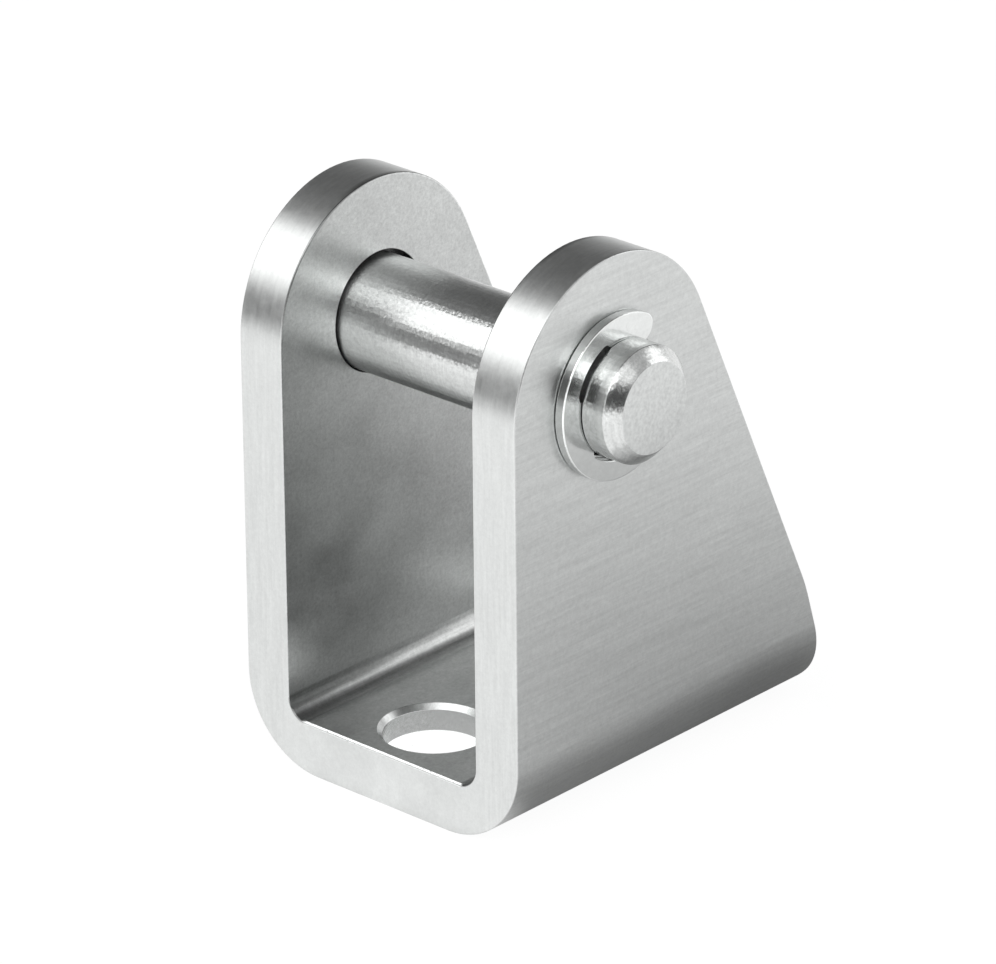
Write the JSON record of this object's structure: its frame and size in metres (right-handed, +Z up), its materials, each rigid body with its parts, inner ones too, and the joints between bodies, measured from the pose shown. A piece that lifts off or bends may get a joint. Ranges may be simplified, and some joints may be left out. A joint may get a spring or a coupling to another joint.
{
  "type": "cylinder clevis foot",
  "caption": "U-shaped bent steel foot with a pivot pin between its two ears, held by E-shaped rings, for hinging the rear eye of a small air cylinder.",
  "frame": {"origin": "underside of the base, in the middle of the width and of the base's length", "axes": "+X along the pivot pin, +Y from the straight front edge to the rear, +Z up, away from the surface it is screwed to"},
  "size_m": [0.0314, 0.0312, 0.0394],
  "materials": {
    "bracket_steel": "stainless sheet, ground and lightly brushed, with a fine grain and brighter cut edges",
    "pin_steel": "bright turned stainless bar with fine turning marks, matt on its end faces",
    "ring_steel": "smooth bright stainless spring steel"
  },
  "bodies": {
    "bracket": {"bracket": "bracket_steel"},
    "pin": {"pivot_pin": "pin_steel", "retaining_ring_left": "ring_steel", "retaining_ring_right": "ring_steel"}
  },
  "joints": [
    {"name": "pin_spin", "type": "hinge", "parent": "bracket", "child": "pin", "pos_m": [0, -0.0062, 0.02987], "axis": [1, 0, 0], "continuous": true}
  ]
}
